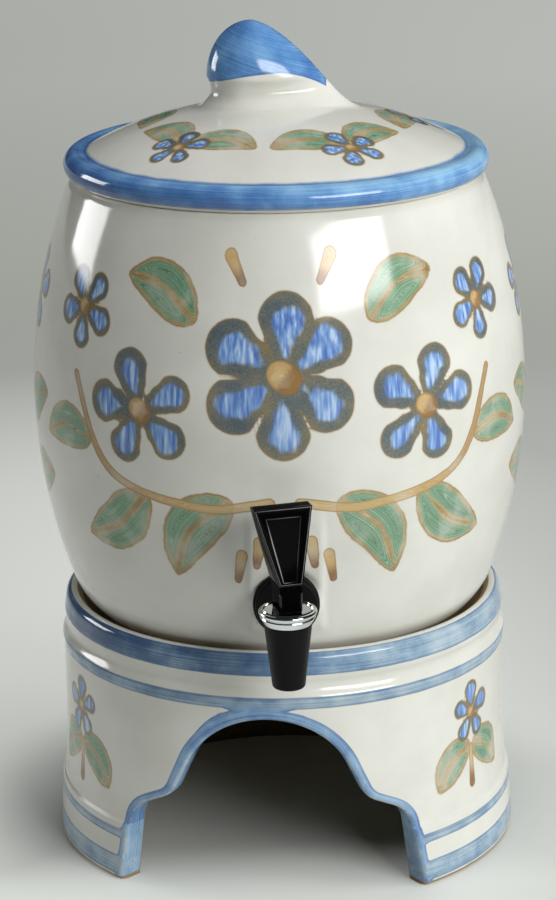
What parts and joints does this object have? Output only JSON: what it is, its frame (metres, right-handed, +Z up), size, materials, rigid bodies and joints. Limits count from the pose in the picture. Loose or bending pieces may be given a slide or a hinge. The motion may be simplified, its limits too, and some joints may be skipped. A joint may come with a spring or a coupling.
{
  "type": "stoneware drink crock with tap",
  "caption": "White glazed stoneware barrel with a domed lid, blue bands and painted flowers, on an arched ring stand, with a black lever tap whose sprung valve lets the drink out.",
  "frame": {"origin": "on the stand's axis, in the plane of its foot", "axes": "+Z up along the axis of the stand and the crock; the tap faces -Y; +X is to the right of someone who faces the tap"},
  "size_m": [0.2752, 0.3281, 0.466],
  "materials": {
    "stoneware": "white gloss glaze with blue, green and ochre brushwork",
    "black_plastic": "gloss black moulding",
    "nut_plastic": "matt black moulding",
    "chrome": "bright plating",
    "silicone": "matt translucent",
    "steel": "plain stainless",
    "black_rubber": "matt",
    "white_plastic": "matt moulding"
  },
  "bodies": {
    "stand": {"stand": "stoneware"},
    "crock": {"crock": "stoneware", "tap_body": "black_plastic", "tap_collar": "chrome", "valve_cup": "silicone", "closing_spring": "steel", "outer_washer": "black_rubber", "inner_washer": "black_rubber", "slip_ring": "white_plastic", "lock_nut": "nut_plastic"},
    "lid": {"lid": "stoneware"},
    "lever": {"lever": "black_plastic", "lever_pin": "steel"},
    "stem": {"lift_stem": "steel"}
  },
  "joints": [
    {"name": "crock_lift", "type": "slide", "parent": "stand", "child": "crock", "axis": [0, 0, 1], "range_m": [0, 0.06]},
    {"name": "lid_lift", "type": "slide", "parent": "crock", "child": "lid", "axis": [0, 0, 1], "range_m": [0, 0.08]},
    {"name": "lever_tilt", "type": "hinge", "parent": "crock", "child": "lever", "pos_m": [0.00138, -0.18066, 0.1906], "axis": [0.9681, 0.2504, 0], "range_deg": [0, 35], "stiffness_Nm_per_rad": 0.06, "springref_deg": -34.38},
    {"name": "stem_lift", "type": "slide", "parent": "crock", "child": "stem", "axis": [0, 0, 1], "range_m": [0, 0.0032], "deforming": ["closing_spring", "valve_cup"]}
  ],
  "couplings": [
    {"joint": "stem_lift", "follows": "lever_tilt", "m_per_rad": 0.0051643}
  ]
}
